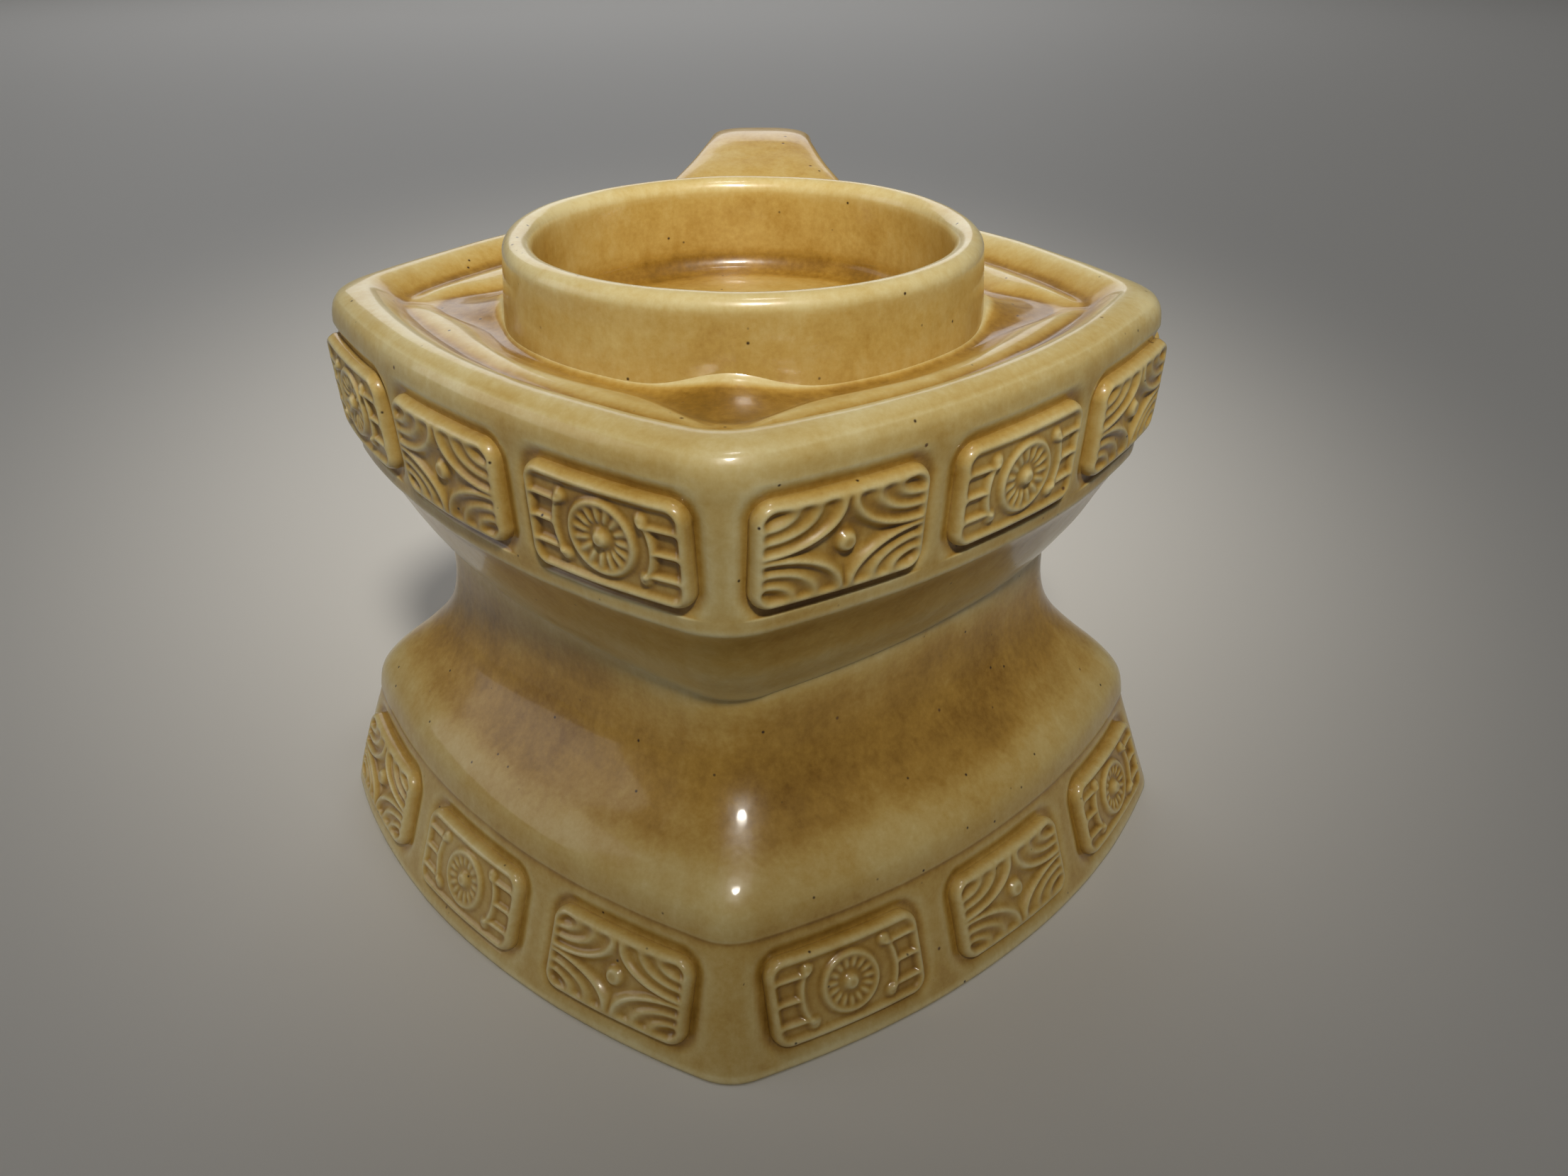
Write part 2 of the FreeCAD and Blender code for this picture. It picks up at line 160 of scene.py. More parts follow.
def pool_and_shade_layer(bm, passes, scale, extra=None):
    """Glaze depth on each vertex: it runs off ridges and pools in hollows.

    The depth is how far a smoothed copy of the surface stands proud of the surface itself.
    """
    bm.normal_update()
    kept = [(vert.co.copy(), vert.normal.copy()) for vert in bm.verts]
    for _ in range(passes):
        bmesh.ops.smooth_vert(bm, verts=bm.verts, factor=0.5, use_axis_x=True, use_axis_y=True,
                              use_axis_z=True)
    layer = bm.verts.layers.float.new("pool_and_shade")
    for vert, (place, normal) in zip(bm.verts, kept):
        depth = (vert.co - place).dot(normal) / scale
        vert.co = place
        # extra adds to the glaze depth; on the stand it is partly painted shade under the collar
        if extra:
            depth += extra(place)
        vert[layer] = min(max(depth, -1), 1)


def finish_piece(name, bm, nodes, materials, wobble=True):
    """Mesh object in metres, riding on the body and standing for its CAD nodes."""
    for vert in bm.verts:
        if wobble:
            vert.co += hand_wobble(vert.co)
        vert.co *= MM
    bmesh.ops.recalc_face_normals(bm, faces=bm.faces)
    mesh = bpy.data.meshes.new(name)
    bm.to_mesh(mesh)
    bm.free()
    mesh.polygons.foreach_set("use_smooth", [True] * len(mesh.polygons))
    for material in materials:
        mesh.materials.append(material)
    piece = bpy.data.objects.new(name, mesh)
    bpy.context.scene.collection.objects.link(piece)
    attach(piece, "root")
    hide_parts(*nodes)
    return piece


# ---------------------------------------------------------------- relief tiles

class Band:
    """A row of relief tiles and the leaning face that carries them."""

    def __init__(self, name, bow, foot, head, heights, width, pitch, shift, kinds):
        self.name = name
        self.bow = bow
        self.foot = foot
        self.head = head
        self.bottom, self.top = heights
        self.width = width
        self.pitch = pitch
        self.shift = shift
        self.kinds = kinds
        lean = (head[0] - foot[0]) / (head[1] - foot[1])
        self.slope = math.hypot(lean, 1)
        self.normal = (1 / self.slope, -lean / self.slope)

    def half_width(self, height):
        part = (height - self.foot[1]) / (self.head[1] - self.foot[1])
        return self.foot[0] + part * (self.head[0] - self.foot[0])

    @property
    def middle(self):
        return (self.bottom + self.top) / 2

    @property
    def half_size(self):
        return self.width / 2, (self.top - self.bottom) / 2 * self.slope

    def place(self, side, along, up, out):
        """Point on the band: along and up its face from the middle of a side, out from it."""
        height = self.middle + up / self.slope
        radius = self.bow + self.half_width(self.middle)
        angle = SIDE_ANGLES[side] + along / radius
        reach = self.bow + self.half_width(height) + out * self.normal[0]
        centre = SIDE_ANGLES[side]
        return Vector((reach * math.cos(angle) - self.bow * math.cos(centre),
                       reach * math.sin(angle) - self.bow * math.sin(centre),
                       height + out * self.normal[1]))

    def channel(self, angle, height):
        """Depth of the soft channel round the tiles at a point of the band."""
        side = max(range(len(SIDE_ANGLES)), key=lambda n: math.cos(angle - SIDE_ANGLES[n]))
        centre = SIDE_ANGLES[side]
        reach = side_reach(angle, centre, self.bow, self.half_width(height))
        turn = math.atan2(reach * math.sin(angle - centre),
                          reach * math.cos(angle - centre) + self.bow)
        along = turn * (self.bow + self.half_width(self.middle))
        along -= ROW_SHIFTS[side] * self.shift
        step = min(max(round(along / self.pitch), -1), 1)
        across, tall = self.half_size
        gap = rounded_distance(along - step * self.pitch, (height - self.middle) * self.slope,
                               across, tall, TILE_CORNER)
        if gap < CHANNEL_MIDDLE:
            return CHANNEL_DEPTH
        return CHANNEL_DEPTH * bump(gap, CHANNEL_MIDDLE, CHANNEL_WIDTH)


TILE_CORNER = 3.6
TILE_RISE = 1.65
TILE_EDGE_ROUND = 1.5
TILE_SKIRT = 1.4
FRAME_WIDTH = 1.9
FIELD_DROP = 0.95
CHANNEL_DEPTH = 0.75
CHANNEL_MIDDLE = 0.5
CHANNEL_WIDTH = 1.35
TILE_STEPS = (118, 66)
GLAZE_SOFTENING = 3
PETALS = 15
PEARL = (7.9, 5.2)
LADDER_BAR = 9.6
LADDER_REACH = 4.3
TILES_ON_SIDE = 3
TILES_ON_BAND = 12

# A row of tiles stands a little off the middle of its side, towards the left or right corner.
ROW_SHIFTS = (-1, 1, -1, 1)

stand_band = Band("lower", STAND_BOW, (78.2, 0.0), (69.4, 28.0), (4.5, 21.0), 31.6, 40.8, 0.3,
                  ("star", "rosette"))
collar_band = Band("upper", COLLAR_BOW, (65.7, 86.5), (67.5, 109.0), (88.0, 107.0), 32.2, 38.9,
                   1.6, ("rosette", "star"))


def rounded_distance(x, y, across, tall, corner):
    """Distance outside a rounded rectangle, negative inside."""
    dx = abs(x) - across + corner
    dy = abs(y) - tall + corner
    outside = math.hypot(max(dx, 0), max(dy, 0))
    return outside + min(max(dx, dy), 0) - corner


def star_relief(x, y, across, tall):
    """Four-point star between nested quarter arcs that spring from the four corners."""
    radius = math.hypot((across - abs(x)) / across, (tall - abs(y)) / tall)
    height = 1.15 * bump(radius, 0.93, 0.075)
    height += 0.80 * bump(radius, 0.62, 0.085)
    height += 0.75 * bump(radius, 0.34, 0.085)
    height -= 0.25 * smoothstep(1.0, 1.15, radius)
    height -= 0.30 * bump(radius, 0.14, 0.09)
    middle = math.hypot(x, y)
    height -= 0.20 * bump(middle, 2.8, 0.8)
    return height + 1.15 * smoothfall(1.2, 2.1, middle)


def rosette_relief(x, y, across, tall):
    """Petalled disc with a boss, four pearls and a ladder at each end."""
    middle = math.hypot(x, y)
    angle = math.atan2(y, x)
    disc = tall * 0.86
    height = 0.55 * smoothfall(disc - 0.3, disc + 0.5, middle)
    height += 0.40 * bump(middle, disc - 0.4, 0.55)
    petals = 0.5 + 0.5 * math.cos(PETALS * angle)
    slit = smoothstep(2.2, 3.1, middle) * smoothfall(disc - 1.6, disc - 0.9, middle)
    height += slit * (0.55 * petals - 0.35)
    height -= 0.45 * bump(middle, 2.3, 0.65)
    height += 0.75 * smoothfall(0.9, 1.7, middle)
    for side_x in (-1, 1):
        for side_y in (-1, 1):
            pearl = math.hypot(x - side_x * PEARL[0], y - side_y * PEARL[1])
            height += 0.85 * smoothfall(0.6, 1.5, pearl)
    return height + ladder_relief(abs(x), y, across, middle)


def ladder_relief(x, y, across, middle):
    """Bar bowed along the disc with three rungs that run out to the frame."""
    bar = bump(middle, LADDER_BAR, 0.6) * smoothfall(4.2, 5.2, abs(y))
    rung = max(bump(y, place, 0.55) for place in (-LADDER_REACH, 0.0, LADDER_REACH))
    rung *= smoothstep(LADDER_BAR - 0.9, LADDER_BAR - 0.2, middle)
    hole = smoothstep(LADDER_BAR + 0.3, LADDER_BAR + 1.0, middle) * smoothfall(3.6, 4.4, abs(y))
    return 0.85 * max(bar, rung) - 0.35 * hole * (1 - rung)


RELIEFS = {"star": star_relief, "rosette": rosette_relief}


def tile_height(kind, x, y, across, tall, wear):
    """Height of a tile's surface over the band."""
    inside = -rounded_distance(x, y, across, tall, TILE_CORNER)
    edge = min(max(inside / TILE_EDGE_ROUND, 0), 1)
    rim = math.sqrt(1 - (1 - edge) ** 2)
    field = smoothstep(FRAME_WIDTH - 0.9, FRAME_WIDTH + 0.5, inside)
    relief = RELIEFS[kind](x, y, across - FRAME_WIDTH, tall - FRAME_WIDTH)
    pillow = 0.35 * (1 - (x / across) ** 2) * (1 - (y / tall) ** 2)
    return -0.3 + (TILE_RISE + 0.3) * rim + pillow + wear * field * (relief - FIELD_DROP)


def round_off(x, y, across, tall, corner):
    """Square-cornered grid point moved so that the grid's corners become round."""
    over_x = abs(x) - across + corner
    over_y = abs(y) - tall + corner
    if over_x <= 0 or over_y <= 0:
        return x, y
    part_x, part_y = over_x / corner, over_y / corner
    new_x = across - corner + corner * part_x * math.sqrt(1 - part_y ** 2 / 2)
    new_y = tall - corner + corner * part_y * math.sqrt(1 - part_x ** 2 / 2)
    return math.copysign(new_x, x), math.copysign(new_y, y)


def make_tile(band, kind, side, step, name, materials):
    """One relief tile: a grid raised into the relief, its edge turned down into the channel."""
    across, tall = band.half_size
    wear = 0.95 + 0.35 * noise.noise(Vector((side * 3.1, step * 1.7, band.middle)))
    bm = bmesh.new()
    bmesh.ops.create_grid(bm, x_segments=TILE_STEPS[0], y_segments=TILE_STEPS[1], size=1)
    for vert in bm.verts:
        x, y = round_off(vert.co.x * across, vert.co.y * tall, across, tall, TILE_CORNER)
        vert.co = (x, y, tile_height(kind, x, y, across, tall, wear))
    for _ in range(GLAZE_SOFTENING):
        bmesh.ops.smooth_vert(bm, verts=bm.verts, factor=0.5, use_axis_x=False,
                              use_axis_y=False, use_axis_z=True)
    pool_and_shade_layer(bm, passes=9, scale=0.16, extra=lambda place: 0.22 * (1.15 - place.z))
    border = [edge for edge in bm.edges if edge.is_boundary]
    skirt = bmesh.ops.extrude_edge_only(bm, edges=border)["geom"]
    for vert in skirt:
        if isinstance(vert, bmesh.types.BMVert):
            vert.co.z = -TILE_SKIRT
    loop = [edge for edge in skirt if isinstance(edge, bmesh.types.BMEdge)]
    bmesh.ops.contextual_create(bm, geom=loop)
    for vert in bm.verts:
        along = vert.co.x + (step - 1) * band.pitch + ROW_SHIFTS[side] * band.shift
        vert.co = band.place(side, along, vert.co.y, vert.co.z)
    return finish_piece(name, bm, [name], materials)


def make_tiles(band, materials):
    """Two kinds of tile in turn all the way round a band."""
    for count in range(TILES_ON_BAND):
        side, step = divmod(count, TILES_ON_SIDE)
        kind = band.kinds[count % 2]
        name = f"{band.name}_{kind}_tile_{count // 2 + 1}"
        make_tile(band, kind, side, step, name, materials)


# ---------------------------------------------------------------- stand

def plan_ring(bow, half_width, height, softness):
    """Ring that follows the four-sided plan at one height."""
    return lambda angle: (plan_reach(angle, bow, half_width, softness), height)


def band_ring(band, height, softness):
    """Ring across a tile band, sunk where the channels run."""
    def ring(angle):
        half_width = band.half_width(height) - band.channel(angle, height)
        return plan_reach(angle, band.bow, half_width, softness), height
    return ring


def make_stand(materials):
    """Hollow stand: foot, leaning band, round shoulder, sweeping flare and straight waist."""
    foot = [(75.8, 0.0), (77.3, 0.1), (78.0, 0.5)]
    band_heights = [0.5 + 0.5 * step for step in range(1, 50)]
    flare = spline([(70.5, 25.6), (70.0, 28.6), (68.9, 31.2), (66.2, 34.4), (61.2, 38.9),
                    (57.0, 43.6), (54.3, 48.6), (53.0, 54.0), (52.7, 60.0), (52.8, 70.0)], 4)
    inside = spline([(47.3, 70.0), (46.8, 58.0), (48.8, 47.0), (56.0, 38.0), (63.0, 30.0),
                     (66.5, 20.0), (71.2, 3.0), (72.4, 0.6)], 2)
    inside += [(72.9, 0.15), (73.6, 0.0)]
    rings = [plan_ring(STAND_BOW, half, up, STAND_SOFTNESS) for half, up in foot]
    rings += [band_ring(stand_band, up, STAND_SOFTNESS) for up in band_heights]
    rings += [plan_ring(STAND_BOW, half, up, STAND_SOFTNESS + 5.0 * smoothstep(28, 50, up))
              for half, up in flare]
    rings += [plan_ring(STAND_BOW, half, up, 6.0) for half, up in inside]
    bm = ring_shell(rings, closed=True)
    # the stand's extra term is painted shade under the collar's overhang, plus glaze gathering on
    # the flare
    pool_and_shade_layer(bm, passes=14, scale=0.22, extra=stand_glaze_and_shade)
    mark_foot(bm)
    return finish_piece("stand", bm, ["lower_body"], materials)


def stand_glaze_and_shade(place):
    """Painted shade on the waist under the collar and on the flare, where glaze also gathers."""
    return 0.22 * bump(place.z, 33.0, 8.0) + 0.10 * bump(place.z, 60.0, 9.0)


def mark_foot(bm):
    """The bare ring that the stand rests on was wiped clean of glaze: the second material."""
    bm.normal_update()
    for face in bm.faces:
        if face.calc_center_median().z < 0.3 and abs(face.normal.z) > 0.8:
            face.material_index = 1


# ---------------------------------------------------------------- collar and tray

CUP_DRAFT = 1.4 / 22.6
CUP_LIP = 2.8
CUP_TOP_RADIUS = 45.0
WALL_FOOT = 46.2
CREST_BOW = 75.0
CREST_HALF = 62.8
CREST_TOP = 116.0
RIM_EDGE_HALF = 65.5
RIM_EDGE_TOP = 114.8
RIM_FALL = 3.4
TRAY_FALL = 0.14
PAD_HEIGHT = 1.2
VALLEY = 5.0


def cup_radius(height):
    """Outer radius of the cup's wall, which spreads a little downwards."""
    return CUP_TOP_RADIUS + (cup_high.z - CUP_LIP - height) * CUP_DRAFT


def crest_reach(angle):
    """The rim's crest, a little rounder in plan than the collar."""
    return plan_reach(angle, CREST_BOW, CREST_HALF, 4.0)


def tray_height(angle, reach):
    """Top of the tray: four slightly puffed leaves that fall from the rolled rim to the cup.

    A valley runs from each corner to the cup, and a groove runs along inside the rim.
    """
    inside = crest_reach(angle) - reach
    from_crease = reach * min(abs(math.sin(angle)), abs(math.cos(angle)))
    from_foot = reach - WALL_FOOT - cup_fillet(angle)[0]
    height = CREST_TOP - RIM_FALL * smoothstep(0, 7.5, inside) - TRAY_FALL * max(inside - 5, 0)
    height -= 0.35 * bump(inside, 6.8, 2.4)
    clear = smoothstep(0.0, 5.5, from_foot)
    leaf = (1 - bump(from_crease, 0, VALLEY)) * smoothstep(5.5, 11.5, inside)
    crease = bump(from_crease, 0, 1.6) * smoothstep(2.0, 7.0, inside)
    return height + clear * (PAD_HEIGHT * leaf - 0.3 * crease)


def cup_fillet(angle):
    """Breadth and height of the fillet between tray and cup, both largest at each corner."""
    off_corner = WALL_FOOT * min(abs(math.sin(angle)), abs(math.cos(angle)))
    tongue = bump(off_corner, 0, 9.0)
    return 1.6 + 11.0 * tongue, 1.6 + 2.4 * tongue


def crest_ring(part):
    """Ring over the top of the rim, from its outer edge at part 0 to its crest at part 1."""
    def ring(angle):
        outer = plan_reach(angle, COLLAR_BOW, RIM_EDGE_HALF, COLLAR_SOFTNESS)
        reach = outer + (crest_reach(angle) - outer) * part
        return reach, RIM_EDGE_TOP + (CREST_TOP - RIM_EDGE_TOP) * (1 - (1 - part) ** 2)
    return ring


def tray_ring(part):
    """Ring of the tray, from the rim's crest at part 0 to the foot of the fillet at part 1."""
    def ring(angle):
        crest = crest_reach(angle)
        inner = WALL_FOOT + cup_fillet(angle)[0]
        reach = crest + (inner - crest) * part
        return reach, tray_height(angle, reach)
    return ring


def fillet_ring(turn):
    """Ring of the fillet, from the tray at turn 0 up into the cup's wall at a quarter turn."""
    def ring(angle):
        breadth, rise = cup_fillet(angle)
        height = tray_height(angle, WALL_FOOT + breadth) + rise * (1 - math.cos(turn))
        return cup_radius(height) - 0.3 + (breadth + 0.3) * (1 - math.sin(turn)), height
    return ring


def round_ring(radius, height):
    return lambda angle: (radius, height)


def make_collar(materials):
    """Collar: curved underside, tile band, rolled rim, sunk tray and the space under it."""
    under = spline([(50.6, 60.5), (53.4, 63.8), (57.2, 69.4), (60.1, 75.0), (62.6, 79.6),
                    (64.3, 82.1), (65.4, 83.6), (65.6, 85.0), (65.7, 86.3)], 3)
    band_heights = [86.5 + 0.6 * step for step in range(38)]
    rim = spline([(67.5, 109.6), (67.4, 111.3), (67.0, 113.0), (66.2, 114.3)], 3)
    inside = spline([(51.0, 98.0), (57.0, 101.5), (61.2, 101.0), (61.8, 94.0), (60.2, 86.0),
                     (53.5, 73.0), (47.6, 63.0)], 2)
    rings = [plan_ring(COLLAR_BOW, half, up, COLLAR_SOFTNESS) for half, up in under]
    rings += [band_ring(collar_band, up, COLLAR_SOFTNESS) for up in band_heights]
    rings += [plan_ring(COLLAR_BOW, half, up, COLLAR_SOFTNESS) for half, up in rim]
    rings += [crest_ring(step / 5) for step in range(5)]
    rings += [tray_ring(step / 25) for step in range(26)]
    rings += [fillet_ring(math.pi / 2 * step / 7) for step in range(1, 8)]
    rings += [round_ring(44.4, 108.0), round_ring(44.2, 99.0)]
    rings += [plan_ring(COLLAR_BOW, half, up, 8.0) for half, up in inside]
    bm = ring_shell(rings, closed=True)
    pool_and_shade_layer(bm, passes=14, scale=0.22)
    return finish_piece("collar", bm, ["upper_collar"], materials)


# ---------------------------------------------------------------- cup

CUP_WALL = 5.6
CUP_FLOOR = 107.5
CUP_FLOOR_ROUND = 4.0


def make_cup(materials):
    """Cup: drafted wall, full round lip, straight bore and a floor with a rounded edge."""
    bore = CUP_TOP_RADIUS - CUP_WALL
    lip = cup_high.z - CUP_WALL / 2
    wall = [(cup_radius(up), up) for up in [103.0 + 1.2 * step for step in range(18)]]
    turns = [math.pi * step / 14 for step in range(15)]
    lip_rings = [(bore + CUP_WALL / 2 * (1 + math.cos(turn)),
                  lip + CUP_WALL / 2 * math.sin(turn)) for turn in turns]
    bore_rings = [(bore, lip - (lip - CUP_FLOOR - CUP_FLOOR_ROUND) * step / 12)
                  for step in range(1, 12)]
    corner = [(bore - CUP_FLOOR_ROUND * (1 - math.cos(turn)),
               CUP_FLOOR + CUP_FLOOR_ROUND * (1 - math.sin(turn)))
              for turn in (math.pi / 2 * step / 8 for step in range(9))]
    floor = [(bore - CUP_FLOOR_ROUND - step, CUP_FLOOR) for step in (2, 6, 11, 17, 23, 28, 32)]
    under = [(2.0, cup_low.z), (30.0, cup_low.z), (44.0, cup_low.z), (45.4, cup_low.z + 0.4)]
    profile = wall + lip_rings + bore_rings + corner + floor + under
    bm = ring_shell([round_ring(radius, up) for radius, up in profile], closed=True)
    pool_and_shade_layer(bm, passes=16, scale=0.30)
    return finish_piece("cup_body", bm, ["cup"], materials)


# ---------------------------------------------------------------- handle

STRAP_LINE = [(51.5, 108.5), (52.6, 112.6), (56.5, 115.9), (64.0, 118.9), (73.0, 121.6),
              (81.0, 123.6), (88.0, 124.1), (94.5, 123.1), (101.5, 119.8), (106.3, 113.2),
              (107.6, 104.0), (107.6, 92.0), (106.0, 79.0), (100.5, 67.0), (91.5, 56.6),
              (81.0, 48.6), (72.0, 42.9)]
STRAP_THICKNESS = 8.2
STRAP_AROUND = 48
STRAP_NARROW = 12.4


def strap_half_width(out, up):
    """The strap is broad where it springs from the tray's corner and narrow past its crest."""
    if up > 100:
        return STRAP_NARROW + 15.0 * (1 - min(max((out - 52) / 36, 0), 1)) ** 1.6
    return STRAP_NARROW + 2.5 * smoothfall(44.0, 62.0, up)


def make_handle(materials):
    """Strap handle: a flat oval section carried along its bent line and turned to face it."""
    line = spline(STRAP_LINE, 8)
    bm = bmesh.new()
    bmesh.ops.create_circle(bm, cap_ends=False, segments=STRAP_AROUND, radius=1)
    first = bm.edges[:]
    edges = first
    turns = {vert: math.atan2(vert.co.y, vert.co.x) for vert in bm.verts}
    for index, (out, up) in enumerate(line):
        if index:
            ring = {vert for edge in edges for vert in edge.verts}
            near = {tuple(vert.co): turns[vert] for vert in ring}
            grown = bmesh.ops.extrude_edge_only(bm, edges=edges)["geom"]
            edges = [item for item in grown if isinstance(item, bmesh.types.BMEdge)]
            turns = {item: near[tuple(item.co)] for item in grown
                     if isinstance(item, bmesh.types.BMVert)}
        before = line[max(index - 1, 0)]
        after = line[min(index + 1, len(line) - 1)]
        way = Vector((after[0] - before[0], after[1] - before[1])).normalized()
        outward = Vector((-way.y, way.x))
        half = strap_half_width(out, up)
        saddle = 0.72 * smoothfall(43.0, 58.0, up)
        for vert, turn in turns.items():
            across = half * oval(math.cos(turn))
            depth = STRAP_THICKNESS / 2 * oval(math.sin(turn))
            reach = saddle * abs(across)
            vert.co = (across, out + outward.x * depth + way.x * reach,
                       up + outward.y * depth + way.y * reach)
    for loop in (first, edges):
        bmesh.ops.contextual_create(bm, geom=loop)
    pool_and_shade_layer(bm, passes=6, scale=0.5)
    return finish_piece("strap_handle", bm, ["rear_handle"], materials)


def oval(value):
    """Flattens a circle's coordinate towards a rounded rectangle."""
    return math.copysign(abs(value) ** 0.62, value)


# ---------------------------------------------------------------- finishes

def colour(code):
    """sRGB hex to the linear numbers that the shader reads."""
    parts = [int(code[start:start + 2], 16) / 255 for start in (1, 3, 5)]
    linear = [part / 12.92 if part <= 0.04045 else ((part + 0.055) / 1.055) ** 2.4
              for part in parts]
    return (*linear, 1.0)


def add(tree, kind, settings=None, **inputs):
    """Node with its settings and inputs; an input is a value or another node's output."""
    node = tree.nodes.new(kind)
    for key, value in (settings or {}).items():
        setattr(node, key, value)
    for key, value in inputs.items():
        socket = node.inputs[int(key[1:]) if key[1:].isdigit() else key.replace("_", " ")]
        if isinstance(value, bpy.types.NodeSocket):
            tree.links.new(value, socket)
        else:
            socket.default_value = value
    return node


def new_material(name):
    material = bpy.data.materials.new(name)
    material.use_nodes = True
    tree = material.node_tree
    tree.nodes.clear()
    return material, tree


def set_stops(node, stops):
    """Gives a colour ramp its stops of (position, colour)."""
    elements = node.color_ramp.elements
    elements[0].position, elements[0].color = stops[0]
    elements[1].position, elements[1].color = stops[-1]
    for position, value in stops[1:-1]:
        elements.new(position).color = value
    return node.outputs["Color"]


def per_feature(size_mm):
    """Texture scale that makes its features about size_mm across."""
    return 1 / (size_mm * MM)


def honey_glaze():
    """Honey (iron amber) glaze on cast earthenware, dipped and fired glossy.

    It is nearly clear: where it runs thin on edges the pale body shows cream, where it pools in
    hollows it turns amber and brown. Iron specks break through, and the coat is bright but not
    flat, so its reflections waver.
    """
    material, tree = new_material("honey_glaze_on_earthenware")
    place = add(tree, "ShaderNodeTexCoord").outputs["Object"]
    # this attribute holds glaze depth, and on the stand also painted shade under the collar
    pool_and_shade = add(tree, "ShaderNodeAttribute", {"attribute_name": "pool_and_shade"}).outputs["Fac"]
    stretched = add(tree, "ShaderNodeMapping", Vector=place, Scale=(1, 1, 0.28)).outputs[0]
    cloud, blotch, grain, runs, swell, peel = [
        add(tree, "ShaderNodeTexNoise", Vector=where, Scale=per_feature(size), Detail=detail,
            Roughness=roughness).outputs[0]
        for where, size, detail, roughness in (
            (place, 26, 3, 0.5), (place, 7, 4, 0.6), (place, 1.3, 3, 0.7),
            (stretched, 2.6, 3, 0.6), (place, 5.5, 2, 0.5), (place, 0.9, 2, 0.5))]
    multiply_add = {"operation": "MULTIPLY_ADD"}
    depth = add(tree, "ShaderNodeMath", multiply_add, i0=pool_and_shade, i1=0.30, i2=0.42).outputs[0]
    for texture, weight in ((cloud, 0.50), (blotch, 0.26), (grain, 0.26), (runs, 0.16)):
        centred = add(tree, "ShaderNodeMath", {"operation": "SUBTRACT"}, i0=texture, i1=0.5)
        depth = add(tree, "ShaderNodeMath", multiply_add, i0=centred.outputs[0], i1=weight,
                    i2=depth).outputs[0]
    body = set_stops(add(tree, "ShaderNodeValToRGB", i0=depth), [
        (0.05, colour("#E2D29C")), (0.25, colour("#D3BA78")), (0.42, colour("#C5A357")),
        (0.58, colour("#B08838")), (0.76, colour("#8C651D")), (0.95, colour("#5E400C"))])
    speck, pinhole = speck_masks(tree, place)
    freckled = add(tree, "ShaderNodeMix", {"data_type": "RGBA"}, i0=speck, i6=body,
                   i7=colour("#3B2411")).outputs[2]
    pitted = add(tree, "ShaderNodeMix", {"data_type": "RGBA"}, i0=pinhole, i6=freckled,
                 i7=colour("#6B4A22")).outputs[2]
    gloss = add(tree, "ShaderNodeMath", multiply_add, i0=blotch, i1=0.20, i2=0.24).outputs[0]
    wave = add(tree, "ShaderNodeBump", Strength=0.35, Distance=0.5 * MM, Height=swell)
    skin = add(tree, "ShaderNodeBump", Strength=0.18, Distance=0.06 * MM, Height=peel,
               Normal=wave.outputs[0])
    pits = add(tree, "ShaderNodeBump", {"invert": True}, Strength=0.6, Distance=0.15 * MM,
               Height=pinhole, Normal=skin.outputs[0])
    shader = add(tree, "ShaderNodeBsdfPrincipled", Base_Color=pitted, Roughness=gloss, IOR=1.5,
                 Normal=pits.outputs[0])
    shader.inputs["Coat Weight"].default_value = 0.55
    shader.inputs["Coat Roughness"].default_value = 0.09
    add(tree, "ShaderNodeOutputMaterial", Surface=shader.outputs[0])
    return material


def speck_masks(tree, place):
    """Iron specks 0.3 to 0.9 mm across, scattered unevenly, and rarer pinholes."""
    masks = []
    for spacing, size, share in ((2.9, 0.13, 0.80), (6.5, 0.07, 0.62)):
        cells = add(tree, "ShaderNodeTexVoronoi", Vector=place, Scale=per_feature(spacing))
        chance = add(tree, "ShaderNodeSeparateColor", Color=cells.outputs["Color"]).outputs[0]
        drift = add(tree, "ShaderNodeTexNoise", Vector=place, Scale=per_feature(30), Detail=1,
                    Roughness=0.5).outputs[0]
        lean = add(tree, "ShaderNodeMath", {"operation": "MULTIPLY"}, i0=drift, i1=0.35)
        crowd = add(tree, "ShaderNodeMath", {"operation": "ADD"}, i0=chance, i1=lean.outputs[0])
        picked = add(tree, "ShaderNodeMath", {"operation": "GREATER_THAN"},
                     i0=crowd.outputs[0], i1=share + 0.22)
        reach = add(tree, "ShaderNodeMath", {"operation": "SUBTRACT"}, i0=size,
                    i1=cells.outputs["Distance"])
        dot = add(tree, "ShaderNodeMath", {"operation": "MULTIPLY", "use_clamp": True},
                  i0=reach.outputs[0], i1=1.6 / size)
        masks.append(add(tree, "ShaderNodeMath", {"operation": "MULTIPLY"},
                         i0=picked.outputs[0], i1=dot.outputs[0]).outputs[0])
    return masks


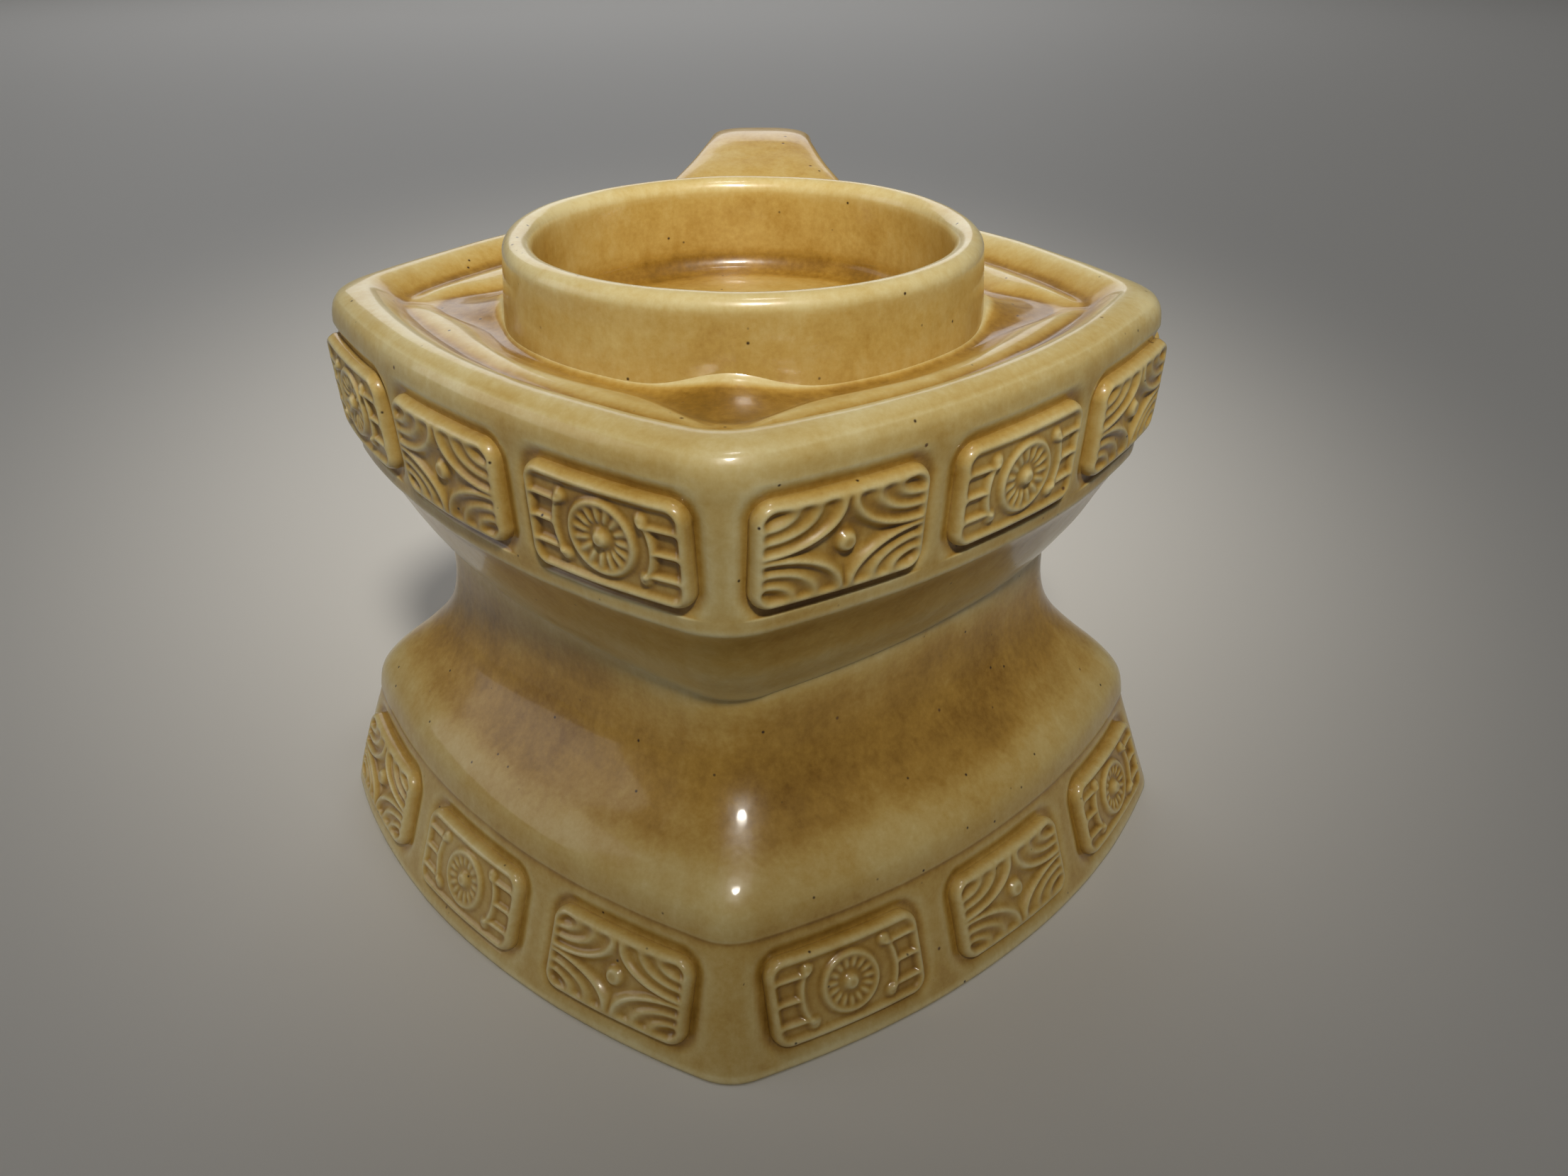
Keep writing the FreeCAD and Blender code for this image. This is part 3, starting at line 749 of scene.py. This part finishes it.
def bare_clay():
    """Buff earthenware, wiped clean of glaze on the foot: dry, matt and finely gritty."""
    material, tree = new_material("bare_buff_earthenware")
    place = add(tree, "ShaderNodeTexCoord").outputs["Object"]
    grit, stain = [
        add(tree, "ShaderNodeTexNoise", Vector=place, Scale=per_feature(size), Detail=detail,
            Roughness=roughness).outputs[0]
        for size, detail, roughness in ((0.5, 4, 0.7), (9, 3, 0.5))]
    half_stain = add(tree, "ShaderNodeMath", {"operation": "MULTIPLY"}, i0=stain, i1=0.5)
    tone = add(tree, "ShaderNodeMath", {"operation": "MULTIPLY_ADD"}, i0=grit, i1=0.5,
               i2=half_stain.outputs[0]).outputs[0]
    body = set_stops(add(tree, "ShaderNodeValToRGB", i0=tone), [
        (0.25, colour("#B79C74")), (0.55, colour("#D2BE9A")), (0.80, colour("#E2D5B8"))])
    relief = add(tree, "ShaderNodeBump", Strength=0.5, Distance=0.12 * MM, Height=grit)
    shader = add(tree, "ShaderNodeBsdfPrincipled", Base_Color=body, Roughness=0.86,
                 Normal=relief.outputs[0])
    add(tree, "ShaderNodeOutputMaterial", Surface=shader.outputs[0])
    return material


# ---------------------------------------------------------------- floor, light and camera

def plain(name, code, roughness):
    material, tree = new_material(name)
    shader = add(tree, "ShaderNodeBsdfPrincipled", Base_Color=colour(code), Roughness=roughness)
    add(tree, "ShaderNodeOutputMaterial", Surface=shader.outputs[0])
    return material


def make_floor():
    bm = bmesh.new()
    bmesh.ops.create_grid(bm, x_segments=1, y_segments=1, size=6)
    mesh = bpy.data.meshes.new("floor")
    bm.to_mesh(mesh)
    bm.free()
    mesh.materials.append(plain("pale_floor", "#D8D5CF", 0.6))
    floor = bpy.data.objects.new("floor", mesh)
    bpy.context.scene.collection.objects.link(floor)


def area_light(name, place, target, size, watts, tint="#FFFFFF"):
    light = bpy.data.lights.new(name, "AREA")
    light.shape = "RECTANGLE"
    light.size, light.size_y = size
    light.energy = watts
    light.color = colour(tint)[:3]
    aim(name, light, place, target)


def aim(name, light, place, target):
    holder = bpy.data.objects.new(name, light)
    holder.location = place
    holder.rotation_euler = (Vector(target) - Vector(place)).to_track_quat("-Z", "Y").to_euler()
    bpy.context.scene.collection.objects.link(holder)


def make_lights():
    """A lamp over the front that leaves the foot in half shade, soft day from behind, dim room."""
    middle = (0, 0, 0.08)
    lamp = bpy.data.lights.new("front_lamp", "SPOT")
    lamp.energy = 46
    lamp.spot_size = math.radians(23.5)
    lamp.spot_blend = 1
    lamp.shadow_soft_size = 0.09
    lamp.color = colour("#FFFAF0")[:3]
    aim("front_lamp", lamp, (0.12, -0.66, 0.92), (0, 0.075, 0.14))
    area_light("back_window", (-0.3, 1.7, 0.8), (-0.1, 1.0, 0), (1.6, 0.8), 5, "#F5F7FC")
    area_light("ceiling_lamp", (0.10, -0.10, 1.25), middle, (0.16, 0.16), 1.0, "#FFFFFF")
    area_light("left_fill", (-0.9, -0.05, 0.40), middle, (0.6, 0.5), 0.8, "#FFFFFF")
    world = bpy.data.worlds.new("room")
    world.use_nodes = True
    background = world.node_tree.nodes["Background"]
    background.inputs["Color"].default_value = colour("#EEEEEC")
    background.inputs["Strength"].default_value = 0.11
    bpy.context.scene.world = world


CAMERA_PLACE = (13.3, -258.0, 192.5)
CAMERA_PITCH = 29.02
CAMERA_TURN = 1.27
LENS = 31.49
SENSOR = 36.0


def make_camera():
    camera = bpy.data.cameras.new("camera")
    camera.lens = LENS
    camera.sensor_width = SENSOR
    holder = bpy.data.objects.new("camera", camera)
    holder.location = Vector(CAMERA_PLACE) * MM
    holder.rotation_euler = (math.radians(90 - CAMERA_PITCH), 0, math.radians(CAMERA_TURN))
    bpy.context.scene.collection.objects.link(holder)
    bpy.context.scene.camera = holder


bpy.context.scene.view_settings.view_transform = "Standard"
make_floor()
make_lights()
make_camera()
finishes = [honey_glaze(), bare_clay()]
make_stand(finishes)
make_collar(finishes[:1])
make_cup(finishes[:1])
make_handle(finishes[:1])
make_tiles(stand_band, finishes[:1])
make_tiles(collar_band, finishes[:1])
